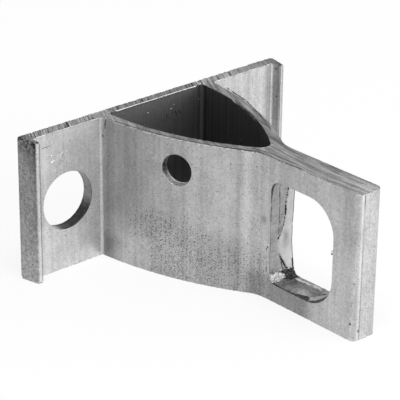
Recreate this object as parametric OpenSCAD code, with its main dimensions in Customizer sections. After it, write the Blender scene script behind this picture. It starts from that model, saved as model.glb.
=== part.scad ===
// Pole anchor bracket: one length sawn from an aluminium extrusion, then punched and drilled.
// The section lies in XY and runs along Z. The pole face is y = 0 and looks along +Y, and the
// lug runs out along -Y. The origin is on the pole face, midway between the two bolt holes.

/* [Bracket] */
// Length sawn from the extrusion
sawn_len = 45; // [44:1:80]
// Distance from the middle of the bolt holes down to the lower sawn face
end_below = 21.9; // [18:0.1:22]
// Width of the pole plate over both ends
plate_w = 101; // [96:1:130]
// Distance from the pole face to the tip of the lug
reach = 93; // [90:1:130]

/* [Pole plate] */
// Thickness of each flange of the plate, where a band or bolt bears
flange_t = 4; // [3:0.5:6]
// Thickness of the plate between the webs
mid_wall_t = 3; // [2:0.5:3.5]
// Distance from the pole face to the front of the lip on each end
lip_depth = 7.8; // [7:0.2:10]
// Thickness of the lip at its front
lip_t = 1.4; // [1.2:0.1:1.8]
// Lean of the end faces, which taper the lips towards their fronts
end_lean = 13; // [5:1:15]
// Radius of the plate's two outer back corners
back_corner_r = 1.2; // [0.5:0.1:2]

/* [Webs and cavity] */
// Half the width over the webs where they leave the flanges
foot_x = 22.2; // [21:0.2:24]
// Radius of the bowed outer face of each web
web_outer_r = 110; // [90:5:200]
// Distance from the pole face to where the outer faces reach the lug
shoulder_y = 54; // [52:0.5:56]
// Radius of the hollow where a web runs into the lug
neck_r = 12; // [6:1:16]
// Half the width of the cavity at its flat wall
cavity_x = 18.5; // [17:0.25:19]
// Radius of the bowed inner face of each web
web_inner_r = 80; // [70:5:100]
// Distance from the pole face to where the inner faces would cross
cavity_tip_y = 53.7; // [52:0.1:54]
// Radius of the nose of the cavity
nose_r = 3; // [2:0.5:4]

/* [Lug] */
// Thickness of the lug
lug_t = 9; // [8:0.5:12]
// Radius of the two upright corners of the lug's tip
tip_r = 2; // [0.5:0.5:3]
// Length of the window away from the pole
window_len = 25.1; // [20:0.1:28]
// Height of the window along the extrusion
window_h = 32.8; // [20:0.2:34]
// Distance from the pole face to the near side of the window
window_y = 58.5; // [57:0.5:60]
// Radius of the window's corners next to the webs
window_near_r = 2.7; // [1:0.1:5]
// Radius of the window's corners next to the tip, where the clamp's bail pulls
window_far_r = 9; // [5:0.5:9.5]

/* [Holes] */
// Distance between the two bolt holes
bolt_spacing = 70; // [68:0.5:72]
// Diameter of the bolt holes
bolt_d = 18; // [12:0.5:18.5]
// Diameter of the small hole through one web
web_hole_d = 9.5; // [6:0.5:12]
// Distance from the pole face to the small hole
web_hole_y = 31; // [20:0.5:40]
// Height of the small hole over the bolt holes
web_hole_z = 13.3; // [-12:0.1:15]

/* [Hidden] */
$fn = 96;
// How far a cutting tool runs past the face that it opens
over = 1;
// Rounds overlap the faces that they touch by this much, so that no sliver is left between
seat = 0.0005;
// Radii of the small rounds and fillets that the extrusion die leaves
lip_edge_r = 0.55;
lip_root_r = 0.6;
foot_r = 1;
cavity_corner_r = 1;
// The end faces lean, so their back corner is sharp this far out before it is rounded
corner_gain = back_corner_r * ((1 + sin(end_lean)) / cos(end_lean) - 1);
back_x = plate_w / 2 + corner_gain;
lip_outer_x = back_x - lip_depth * tan(end_lean);
lip_inner_x = lip_outer_x - lip_t;
outer_c = arc_centre([foot_x, -flange_t], [lug_t / 2, -shoulder_y], web_outer_r);
inner_c = arc_centre([cavity_x, -mid_wall_t], [0, -cavity_tip_y], web_inner_r);
// The small hole is square to the outer face of the web at its own place
web_hole_turn = asin((web_hole_y + outer_c.y) / web_outer_r);
web_hole_x = outer_c.x + web_outer_r * cos(web_hole_turn);
// How far the small hole's tool runs to either side of that face: through one web only
web_tool_reach = 10;

// Centre of the circle of radius r through p and q that bows away from the plane of symmetry
function arc_centre(p, q, r) =
    let (d = q - p, side = [-d.y, d.x] / norm(d))
    (p + q) / 2 - side * sqrt(r * r - d * d / 4);

// Centre of a small round at a given x or y, whose distance from a bowed face's centre is gap
function centre_beside(c, gap, x) = [x, c.y - sqrt(gap * gap - pow(x - c.x, 2))];
function centre_below(c, gap, y) = [c.x + sqrt(gap * gap - pow(y - c.y, 2)), y];
// Where the line from c through p meets the circle of radius r round c
function point_on(c, p, r) = c + (p - c) * r / norm(p - c);

function unit(v) = v / norm(v);
function wrap(list, i) = list[(i + len(list)) % len(list)];
function cross_of(a, b) = a.x * b.y - a.y * b.x;

// Closed outline with one radius for each corner, drawn with true arcs.
// The corners run counter-clockwise, so a corner that turns right is a fillet.
module rounded_outline(corners, radii) {
    n = len(corners);
    to_last = [for (i = [0:n - 1]) unit(wrap(corners, i - 1) - corners[i])];
    to_next = [for (i = [0:n - 1]) unit(wrap(corners, i + 1) - corners[i])];
    half = [for (i = [0:n - 1]) acos(to_last[i] * to_next[i]) / 2];
    cut = [for (i = [0:n - 1]) radii[i] / tan(half[i])];
    centre = [for (i = [0:n - 1])
        corners[i] + unit(to_last[i] + to_next[i]) * radii[i] / sin(half[i])];
    outward = [for (i = [0:n - 1]) cross_of(to_next[i], to_last[i]) > 0];
    difference() {
        union() {
            polygon([for (i = [0:n - 1], v = [to_last[i], to_next[i]]) corners[i] + v * cut[i]]);
            for (i = [0:n - 1])
                if (outward[i] && radii[i] > 0) translate(centre[i]) circle(radii[i]);
        }
        for (i = [0:n - 1])
            if (!outward[i] && radii[i] > 0) translate(centre[i]) circle(radii[i]);
    }
}

module both_sides() {
    children();
    mirror([1, 0, 0]) children();
}

// Material or space between two bowed faces, cut off at the lines y = back and y = front
module bowed_pair(c, r, back, front) {
    intersection() {
        translate(c) circle(r, $fn = 360);
        translate([-c.x, c.y]) circle(r, $fn = 360);
        translate([-plate_w / 2, front]) square([plate_w, back - front]);
    }
}

module plate_outline() {
    rounded_outline(
        [[back_x, 0], [-back_x, 0], [-lip_outer_x, -lip_depth], [-lip_inner_x, -lip_depth],
         [-lip_inner_x, -flange_t], [lip_inner_x, -flange_t], [lip_inner_x, -lip_depth],
         [lip_outer_x, -lip_depth]],
        [back_corner_r, back_corner_r, lip_edge_r, lip_edge_r, lip_root_r, lip_root_r,
         lip_edge_r, lip_edge_r]);
}

module lug_outline() {
    x = lug_t / 2;
    rounded_outline([[x, -shoulder_y], [-x, -shoulder_y], [-x, -reach], [x, -reach]],
        [0, 0, tip_r, tip_r]);
}

// Fills the corners on both sides up to hollows of radius r round c. The right half of the
// piece runs counter-clockwise and meets the hollow at its two surface points.
module corner_hollows(c, r, right_half) {
    last = len(right_half) - 1;
    left_half = [for (i = [last:-1:0]) [-right_half[i].x, right_half[i].y]];
    difference() {
        polygon(concat(right_half, left_half));
        both_sides() translate(c) circle(r + seat);
    }
}

module web_feet() {
    c = centre_below(outer_c, web_outer_r + foot_r, -flange_t - foot_r);
    corner_hollows(c, foot_r,
        [point_on(outer_c, c, web_outer_r), [c.x, -flange_t], [c.x, -flange_t / 2]]);
}

module neck() {
    c = centre_beside(outer_c, web_outer_r + neck_r, lug_t / 2 + neck_r);
    corner_hollows(c, neck_r,
        [[lug_t / 4, c.y], [lug_t / 2, c.y], point_on(outer_c, c, web_outer_r)]);
}

// Hollow between the webs, with a round nose and small rounds at its two back corners
module cavity_outline() {
    nose_c = centre_beside(inner_c, web_inner_r - nose_r, 0);
    nose_touch = point_on(inner_c, nose_c, web_inner_r);
    corner_c = centre_below(inner_c, web_inner_r - cavity_corner_r, -mid_wall_t - cavity_corner_r);
    corner_touch = point_on(inner_c, corner_c, web_inner_r);
    bowed_pair(inner_c, web_inner_r, corner_touch.y, nose_touch.y);
    translate(nose_c) circle(nose_r + seat);
    both_sides() {
        translate(corner_c) circle(cavity_corner_r + seat);
        polygon([[0, -mid_wall_t], [0, corner_touch.y - cavity_corner_r], corner_touch,
            corner_c, [corner_c.x, -mid_wall_t]]);
    }
}

// The whole section that the die makes
module section() {
    difference() {
        union() {
            plate_outline();
            bowed_pair(outer_c, web_outer_r, -flange_t / 2, -shoulder_y - over);
            web_feet();
            neck();
            lug_outline();
        }
        cavity_outline();
    }
}

// Punched through the lug: square next to the webs and widely rounded next to the tip
module window_tool() {
    near = window_y;
    far = window_y + window_len;
    low = -window_h / 2;
    high = window_h / 2;
    rotate([90, 0, 90])
        linear_extrude(lug_t + 2 * over, center = true)
            rounded_outline([[-near, low], [-near, high], [-far, high], [-far, low]],
                [window_near_r, window_near_r, window_far_r, window_far_r]);
}

module bolt_hole_tool() {
    translate([bolt_spacing / 2, over, 0])
        rotate([90, 0, 0])
            cylinder(h = flange_t + 2 * over, d = bolt_d);
}

module web_hole_tool() {
    translate([-web_hole_x, -web_hole_y, web_hole_z])
        rotate([0, 0, web_hole_turn])
            rotate([0, 90, 0])
                cylinder(h = 2 * web_tool_reach, d = web_hole_d, center = true);
}

module bracket_body() {
    color("#a6a8aa")
    difference() {
        translate([0, 0, -end_below]) linear_extrude(sawn_len) section();
        window_tool();
        both_sides() bolt_hole_tool();
        web_hole_tool();
    }
}

bracket_body();
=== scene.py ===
import math
import random

import bmesh
import bpy
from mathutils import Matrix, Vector, noise
from mathutils.geometry import delaunay_2d_cdt


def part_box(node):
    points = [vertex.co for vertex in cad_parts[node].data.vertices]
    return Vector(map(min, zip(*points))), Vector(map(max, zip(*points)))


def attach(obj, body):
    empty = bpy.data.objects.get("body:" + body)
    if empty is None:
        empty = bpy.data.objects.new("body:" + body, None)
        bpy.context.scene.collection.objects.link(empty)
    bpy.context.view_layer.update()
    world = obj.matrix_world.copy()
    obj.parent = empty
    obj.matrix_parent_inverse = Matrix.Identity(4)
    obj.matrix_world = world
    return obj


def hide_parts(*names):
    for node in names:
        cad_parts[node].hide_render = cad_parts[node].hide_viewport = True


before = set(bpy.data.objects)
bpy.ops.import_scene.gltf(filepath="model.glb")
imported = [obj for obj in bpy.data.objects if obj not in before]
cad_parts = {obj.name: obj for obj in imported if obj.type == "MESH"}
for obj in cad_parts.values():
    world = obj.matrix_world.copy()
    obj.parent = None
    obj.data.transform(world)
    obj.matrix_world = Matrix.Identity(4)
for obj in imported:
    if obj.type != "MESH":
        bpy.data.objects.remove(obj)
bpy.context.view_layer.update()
mm = 0.001
low, high = (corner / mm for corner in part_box("bracket_body"))
print("frame loaded, bracket from", low, "to", high)


# Plain geometry in the plane of the section, in millimetres

def arcCentre(start, end, radius):
    chord = end - start
    side = Vector((-chord.y, chord.x)).normalized()
    return (start + end) / 2 - side * math.sqrt(radius ** 2 - chord.length_squared / 4)


def roundBeside(centre, gap, x):  # centre of a small round at a given x
    return Vector((x, centre.y - math.sqrt(gap ** 2 - (x - centre.x) ** 2)))


def roundBelow(centre, gap, y):  # the same at a given y
    return Vector((centre.x + math.sqrt(gap ** 2 - (y - centre.y) ** 2), y))


def pointOn(centre, towards, radius):
    return centre + (towards - centre).normalized() * radius


def linePoints(start, end, step):
    count = max(1, round((end - start).length / step))
    return [start.lerp(end, k / count) for k in range(count + 1)]


def arcPoints(centre, start, end, step):
    radius = (start - centre).length
    first = math.atan2(start.y - centre.y, start.x - centre.x)
    last = math.atan2(end.y - centre.y, end.x - centre.x)
    turn = (last - first + math.pi) % (2 * math.pi) - math.pi
    mostTurn = 0.2  # from one point to the next on a small round, in radians
    count = max(math.ceil(abs(turn) / mostTurn), math.ceil(abs(turn) * radius / step))
    angles = [first + turn * k / count for k in range(count + 1)]
    return [centre + radius * Vector((math.cos(a), math.sin(a))) for a in angles]


def roundCorner(before, corner, after, radius):
    a = (before - corner).normalized()
    b = (after - corner).normalized()
    half = math.acos(max(-1, min(1, a.dot(b)))) / 2
    cut = radius / math.tan(half)
    centre = corner + (a + b).normalized() * radius / math.sin(half)
    return corner + a * cut, centre, corner + b * cut


def extendPath(path, points):  # without a point that the path ends on already
    path.extend(p for p in points if not path or (p - path[-1]).length > 1e-4)


def pathThrough(corners, step):
    path = []
    for a, b in zip(corners, corners[1:]):
        extendPath(path, linePoints(Vector(a), Vector(b), step))
    return path


def spaced(start, end, margin, step):  # evenly spaced numbers, about a step apart, within a margin
    span = end - start - 2 * margin
    count = round(span / step)
    return [start + margin + span * k / count for k in range(count + 1)]


def mirrorToLoop(half):
    return half + [Vector((-p.x, p.y)) for p in reversed(half[1:-1])]


def loopNormals(loop):  # each points to the left of the way along the loop
    normals = []
    for i in range(len(loop)):
        way = (loop[(i + 1) % len(loop)] - loop[i - 1]).normalized()
        normals.append(Vector((-way.y, way.x)))
    return normals


def clamp01(value):
    return max(0.0, min(1.0, value))


def smooth(start, end, value):
    t = clamp01((value - start) / (end - start))
    return t * t * (3 - 2 * t)


def wobble(*place):  # smooth noise from about -1 to 1
    return noise.noise(Vector(place))


def follow(table, value):  # reads a curve that is given as pairs of numbers
    for (a, x), (b, y) in zip(table, table[1:]):
        if value <= b:
            return x + (y - x) * clamp01((value - a) / (b - a))
    return table[-1][1]


# The extruded section

section = {
    "flange": 4, "midWall": 3, "lipDepth": 7.8, "lipThickness": 1.4, "endLean": 13,
    "backRound": 1.2, "lipEdgeRound": 0.55, "lipRootRound": 0.6,
    "footX": 22.2, "footRound": 1, "webOuterRound": 110, "shoulder": 54, "neckRound": 12,
    "cavityX": 18.5, "webInnerRound": 80, "cavityTip": 53.7, "noseRound": 3, "cavityRound": 1,
    "lug": 9, "tipRound": 2, "step": 0.55, "sharpAngle": 34,
}


def outerBow():  # centre of the right web's bowed outer face
    s = section
    return arcCentre(Vector((s["footX"], -s["flange"])), Vector((s["lug"] / 2, -s["shoulder"])),
                     s["webOuterRound"])


def hollowBow():  # centre of its bowed inner face
    s = section
    return arcCentre(Vector((s["cavityX"], -s["midWall"])), Vector((0, -s["cavityTip"])),
                     s["webInnerRound"])


def outerLoop():  # clockwise seen from above, so that the metal is on its right
    s = section
    step, front, halfLug, bowed = s["step"], -s["flange"], s["lug"] / 2, s["webOuterRound"]
    lean = math.radians(s["endLean"])
    gain = s["backRound"] * ((1 + math.sin(lean)) / math.cos(lean) - 1)
    lipOuter = high.x + gain - s["lipDepth"] * math.tan(lean)
    lipInner = lipOuter - s["lipThickness"]
    web = outerBow()
    foot = roundBelow(web, bowed + s["footRound"], front - s["footRound"])
    neck = roundBeside(web, bowed + s["neckRound"], halfLug + s["neckRound"])
    corners = [Vector(c) for c in (
        (0, 0), (high.x + gain, 0), (lipOuter, -s["lipDepth"]), (lipInner, -s["lipDepth"]),
        (lipInner, front), (foot.x, front))]
    rounds = [s["backRound"], s["lipEdgeRound"], s["lipEdgeRound"], s["lipRootRound"]]
    path = [corners[0]]
    for i, radius in enumerate(rounds, 1):
        start, centre, end = roundCorner(corners[i - 1], corners[i], corners[i + 1], radius)
        extendPath(path, linePoints(path[-1], start, step))
        extendPath(path, arcPoints(centre, start, end, step))
    extendPath(path, linePoints(path[-1], corners[-1], step))
    webStart = pointOn(web, foot, bowed)
    webEnd = pointOn(web, neck, bowed)
    lugStart = Vector((halfLug, neck.y))
    extendPath(path, arcPoints(foot, corners[-1], webStart, step))
    extendPath(path, arcPoints(web, webStart, webEnd, step))
    extendPath(path, arcPoints(neck, webEnd, lugStart, step))
    tipEnd = Vector((0, low.y))
    start, centre, end = roundCorner(lugStart, Vector((halfLug, low.y)), tipEnd, s["tipRound"])
    extendPath(path, linePoints(lugStart, start, step))
    extendPath(path, arcPoints(centre, start, end, step))
    extendPath(path, linePoints(end, tipEnd, step))
    return mirrorToLoop(path)


def cavityLoop():  # counter-clockwise seen from above: the metal is on its right too
    s = section
    step, wall, bowed = s["step"], -s["midWall"], s["webInnerRound"]
    web = hollowBow()
    corner = roundBelow(web, bowed - s["cavityRound"], wall - s["cavityRound"])
    nose = roundBeside(web, bowed - s["noseRound"], 0)
    wallStart = Vector((corner.x, wall))
    webStart = pointOn(web, corner, bowed)
    webEnd = pointOn(web, nose, bowed)
    path = [Vector((0, wall))]
    extendPath(path, linePoints(path[0], wallStart, step))
    extendPath(path, arcPoints(corner, wallStart, webStart, step))
    extendPath(path, arcPoints(web, webStart, webEnd, step))
    extendPath(path, arcPoints(nose, webEnd, nose - Vector((0, s["noseRound"])), step))
    return mirrorToLoop(path)[::-1]


# Saw cut: the blade left shallow arcs over both end faces, and burrs where its teeth came out

saw = {
    "bladeRound": 160, "bladeY": -80, "sunk": 0.06, "coarse": 0.04, "fine": 0.025, "score": 0.1,
    "edgeRound": 0.09, "burr": 0.16,
    # Rows of the edge: how deep each lies, and its shares of the edge's round and of the burr
    "edgeRows": [(1.6, 0, 0), (1, 0, 0.12), (0.55, 0.12, 0.75), (0.2, 0.5, 1), (0, 1, 0.6)],
    "capStep": 0.34, "capRim": 0.18, "capBeside": 0.17, "capShift": 0.05,
    "capFirst": 0.2, "capLast": 0.1,
}
burrPatches = [  # middle of the patch in the section, its half length, and how far it stands out
    ((-17.5, -17), 9, 0.5), ((-20.8, -9.5), 3, 0.3), ((11.5, -32), 5, 0.35),
    ((13.5, -21.5), 1.6, 0.75), ((0, -3), 17.5, 0.3), ((-36, -4), 14, 0.28), ((36, -4), 14, 0.2),
]


def bladeArc(x, y, side):  # the same along one mark of the blade, and growing across the marks
    radius = saw["bladeRound"]
    return side * x - radius + math.sqrt(radius ** 2 - (y - saw["bladeY"]) ** 2)


def sawDepth(x, y, side):
    u = bladeArc(x, y, side)
    deep = max(0, wobble(u * 0.9, y * 0.02, 7 + side) - 0.28)
    return (saw["sunk"] + saw["coarse"] * (0.5 + 0.5 * wobble(u * 0.55, y * 0.02, side))
            + saw["fine"] * (0.5 + 0.5 * wobble(u * 1.7, y * 0.06, 3 + side))
            + saw["score"] * deep)


def burrHeight(point, normal, side):
    leaving = clamp01(-normal.y * 1.3 - 0.1 * side * normal.x)
    lumps = 0.5 + 0.5 * wobble(point.x * 1.1, point.y * 1.1, 11 * side)
    flakes = 0.5 + 0.5 * wobble(point.x * 3.4, point.y * 3.4, 23 * side)
    height = saw["burr"] * leaving * (0.35 * lumps + 0.65 * lumps * flakes)
    if side > 0:
        for middle, reach, most in burrPatches:
            near = 1 - smooth(0.55 * reach, reach, (point - Vector(middle)).length)
            patch = near * most * leaving * (0.25 + 0.75 * lumps * (0.4 + 0.9 * flakes))
            height = max(height, patch)
    return height


# Skin: long lines drawn by the die, and a slight waviness

skin = {"line": 0.014, "fineLine": 0.008, "wave": 0.012, "deepest": 0.045, "levelStep": 1.2,
        "levelMargin": 1}


def skinDepth(point, z):
    line = wobble(point.x * 0.33, point.y * 0.33, 40)
    fineLine = wobble(point.x * 0.95, point.y * 0.95, 60)
    wave = wobble(point.x * 0.09, point.y * 0.09, z * 0.06)
    depth = 0.02 + skin["line"] * line + skin["fineLine"] * fineLine + skin["wave"] * wave
    return max(0, min(skin["deepest"], depth))


def sweepLoop(mesh, loop, levels, finish):
    normals = loopNormals(loop)
    rings = []

    def ring(place):
        made = []
        for point, normal in zip(loop, normals):
            out, z = place(point, normal)
            flat = point + normal * out
            x = max(low.x, min(high.x, flat.x))
            y = max(low.y, min(high.y, flat.y))
            made.append(mesh.verts.new((x, y, max(low.z, min(high.z, z)))))
        rings.append(made)

    def edgeRings(side, end):
        def place(share, outRound, outBurr):
            def at(point, normal):
                burr = burrHeight(point, normal, side)
                uneven = wobble(point.x * 0.8, point.y * 0.8, 5 * side)
                rounding = saw["edgeRound"] * (0.7 + 0.6 * uneven)
                depth = share * (rounding + 0.9 * burr)
                if share == 0:
                    depth = sawDepth(point.x, point.y, side)
                return (-skinDepth(point, end) * (1 if share else 0.5)
                        + outBurr * burr - outRound * rounding, end - side * depth)
            return at
        return [place(*row) for row in saw["edgeRows"]]

    bottom = edgeRings(-1, low.z)
    for place in reversed(bottom):
        ring(place)
    for z in levels:
        ring(lambda point, normal: (-skinDepth(point, z), z))
    for place in edgeRings(1, high.z):
        ring(place)
    count = len(loop)
    for k in range(len(rings) - 1):
        edge = k < len(bottom) - 1 or k >= len(rings) - len(bottom)
        for i in range(count):
            j = (i + 1) % count
            face = mesh.faces.new((rings[k][i], rings[k + 1][i], rings[k + 1][j], rings[k][j]))
            face.material_index = finishes.index("burrEdge" if edge else finish)
    return rings[0], rings[-1]


def rowSpans(loops, y):
    crossings = []
    for loop in loops:
        for a, b in zip(loop, loop[1:] + loop[:1]):
            if (a.y > y) != (b.y > y):
                crossings.append(a.x + (b.x - a.x) * (y - a.y) / (b.y - a.y))
    crossings.sort()
    return list(zip(crossings[::2], crossings[1::2]))


def fillCap(mesh, rings, side, end):
    loops = [[Vector((v.co.x, v.co.y)) for v in ring] for ring in rings]
    points = loops[0] + loops[1]
    rim = [v for ring in rings for v in ring]
    edges = []
    start = 0
    for loop in loops:
        edges += [(start + i, start + (i + 1) % len(loop)) for i in range(len(loop))]
        start += len(loop)
    step, rimGap, shift = saw["capStep"], saw["capRim"], saw["capShift"]
    draw = random.Random(5 + side)
    row = 0
    y = -saw["capFirst"]
    while y > low.y + saw["capLast"]:
        beside = [rowSpans(loops, y + gap) for gap in (-saw["capBeside"], saw["capBeside"])]
        for left, right in rowSpans(loops, y):
            x = left + rimGap + step * 0.25 * (row % 2)
            while x < right - rimGap:
                if all(any(a < x < b for a, b in spans) for spans in beside):
                    points.append(Vector((x, y + draw.uniform(-shift, shift))))
                x += step * draw.uniform(0.85, 1.15)
        row += 1
        y -= step
    flatVerts, _, triangles, origins, _, _ = delaunay_2d_cdt(points, edges, [], 1, 1e-6)
    verts = []
    for place, origin in zip(flatVerts, origins):
        if origin and origin[0] < len(rim):
            verts.append(rim[origin[0]])
        else:
            depth = sawDepth(place.x, place.y, side)
            verts.append(mesh.verts.new((place.x, place.y, end - side * depth)))
    hollow = set(rings[1])
    for triangle in triangles:
        corners = [verts[i] for i in triangle]
        if hollow.issuperset(corners):
            continue
        face = mesh.faces.new(corners if side > 0 else corners[::-1])
        face.material_index = finishes.index("sawnEnd")


def objectFrom(mesh, name):
    for vert in mesh.verts:
        vert.co *= mm
    data = bpy.data.meshes.new(name)
    mesh.to_mesh(data)
    mesh.free()
    made = bpy.data.objects.new(name, data)
    bpy.context.scene.collection.objects.link(made)
    return made


def makeBlank():
    mesh = bmesh.new()
    levels = spaced(low.z, high.z, skin["levelMargin"], skin["levelStep"])
    outer = sweepLoop(mesh, outerLoop(), levels, "skin")
    hollow = sweepLoop(mesh, cavityLoop(), levels, "hollow")
    fillCap(mesh, (outer[0], hollow[0]), -1, low.z)
    fillCap(mesh, (outer[1], hollow[1]), 1, high.z)
    return objectFrom(mesh, "bracket")


# Tools that cut the window, the holes and the dents. Their own surface becomes the cut's wall.

def tube(mesh, rings, slot):  # closed tube through rings of points, with a slot for each face
    made = [[mesh.verts.new(p) for p in ring] for ring in rings]
    count = len(rings[0])
    for k, (a, b) in enumerate(zip(made, made[1:])):
        for i in range(count):
            j = (i + 1) % count
            mesh.faces.new((a[i], a[j], b[j], b[i])).material_index = slot(k, i)
    for ring in (made[0][::-1], made[-1]):
        mesh.faces.new(ring).material_index = slot(0, 0)


def cutTube(mesh, stations, turns, place, finish):  # place and finish go by station and turn
    rings = [[place(station, i) for i in range(turns)] for station in stations]
    tube(mesh, rings, lambda k, i: finishes.index(finish(stations[k], i)))


def crossSteps(start, end, step, fine):  # stations through a wall, closer together at its faces
    return ([start - 1] + [start + f for f in fine[:-1]] + spaced(start, end, fine[-1], step)
            + [end - f for f in fine[-2::-1]] + [end + 1])


def rolledEdge(share, rolled, below):  # how far a punch rolled an edge in, at a depth below it
    into = clamp01(1 - below / rolled)
    return share * rolled * (1 - math.sqrt(1 - min(into, 0.98) ** 2))


window = {
    "near": 58.62, "far": 83.6, "top": 16.2, "bottom": -16.25, "rounds": (3.5, 10, 9.9, 3.2),
    "step": 0.27, "across": 0.2, "fineAcross": [0, 0.1, 0.25, 0.45],
    "rise": 0.35, "rollOver": 0.24, "break": 0.3, "tear": 0.16,
    "crackWidth": 0.34, "crackDepth": 0.4,
}
# Wall by the webs, as z and how far it leans in on its far side; and the crack in it, as z and x
farSwell = [(-16.2, 0.3), (-15.6, 0.6), (-15, 0.8), (-14.1, 0.95), (-13, 0.95), (-12, 0.8),
            (-10.3, 0.5), (-8, 0.2), (-5, 0), (0, 0.05), (10, 0.5), (16, 0.6)]
crack = [(-16, 2.9), (-13.85, 2.1), (-11.5, 0.8), (-9.1, -0.4), (-7.3, -1.2), (-5.1, -1.5),
         (-3.3, -1.2), (-2.5, -0.5), (-1.4, 0.3), (1, 0.9), (3.5, 1.45), (5.7, 1.3), (8, 1.45),
         (11.2, 2.05), (16, 2.4)]
splitEdge = [(-14.5, 0), (-13.3, 0.4), (-9.1, -0.4)]  # second crack, low on the same wall
# Lower wall: the edge of a wedge of painted shadow along its near side, as y and x, and the two
# edges of a fold, with painted shadow beyond it, as x and y
ledgeEdge = [(-76, -4.6), (-74.4, -4.1), (-73.7, -2.7), (-72.7, -2), (-71.1, -2.7), (-69.4, -3.3),
             (-67.9, -3.95), (-60, -3.9)]
foldTop = [(-3.5, -74.6), (-2.4, -73.6), (-1.4, -73.9), (-0.2, -74.4), (0.9, -74.9), (1.5, -75.6)]
foldEdge = [(-4, -74.8), (-3.2, -75.3), (-2.8, -75.9), (-1.9, -76.4), (-0.9, -76.7), (1.3, -76.6)]
flakes = [  # on the lower wall: middle, half sizes along X and Y, finish
    ((-1.7, -70), (1.55, 1.75), "torn"), ((-2, -69.6), (2, 3.4), "ledgeStrip"),
    ((1.85, -75.3), (0.45, 0.6), "tornDark"), ((2.85, -64.1), (0.5, 1.7), "burr"),
    ((3.2, -66.7), (0.5, 1.6), "burr"), ((3.35, -70.6), (0.5, 2.1), "burr"),
]


def ledgeFinish(x, y, ragged):
    # painted shadow along the near side
    if x < follow(ledgeEdge, y) + 0.5 * ragged:
        return "tornDark"
    # the fold: lighter between its edges, painted shadow beyond its outer edge
    if x + 0.6 * ragged < 1.5 and y + 0.5 * ragged < follow(foldTop, x):
        return "torn" if y + 0.5 * ragged > follow(foldEdge, x) else "tornDark"
    for middle, size, name in flakes:
        away = math.hypot((x - middle[0]) / size[0], (y - middle[1]) / size[1])
        if away + 0.9 * ragged < 1:
            return name
    # the rest painted in shade, with lighter strips along the far side and at the far end
    return "ledgeStrip" if x > 2.5 + 0.4 * ragged or y < -75.8 else "pressed"


def nearWallMark(x, y, z, tear, ragged):  # a mark on the wall by the webs, painted shade along its rolled edge, or none
    wide = 0.55 - 0.18 * smooth(0.6, 1.9, abs(z - 5)) - 0.2 * smooth(0.4, 1.1, abs(z + 3))
    if abs(x - tear) < wide and (z > -3.8 or -14 < z < -9):
        return "tornDark"
    if z < -9.1 and x < tear:  # beside the second crack
        split = follow(splitEdge, z)
        if abs(x - split) < 0.18:
            return "tornDark"
        if x > split and wobble(x * 2.5, z * 1.6, 5) > -0.15:
            return "dent"
    # painted shade along the rolled edge by the lug's left face, darkest high up and nearest that
    # face
    if x < -4.3 + 0.6 * smooth(9, 13, z) and z > -13 and wobble(y, z * 0.4, 8) > -0.3:
        return "tornDark" if z > 3 or x < -4.4 else "pressed"
    if z > 12.3 + 0.4 * x + ragged and x < -2.4:
        return "punchedShade"
    if x > (4.2 if z > -11 else 3.9) and wobble(y, z * 0.3, 3) > -0.5:
        return "tornDark"  # along the far edge
    if -1.22 < x + 0.01 * z < -1 and z > -2 and wobble(1, z * 0.9, 6) > -0.35:
        return "tornDark"  # a line beside the crack
    if -1.1 < x < tear and -2 < z < 5 and wobble(x * 0.6, z * 2.9, 11) > 0.14:
        return "dent"
    return None


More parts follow.
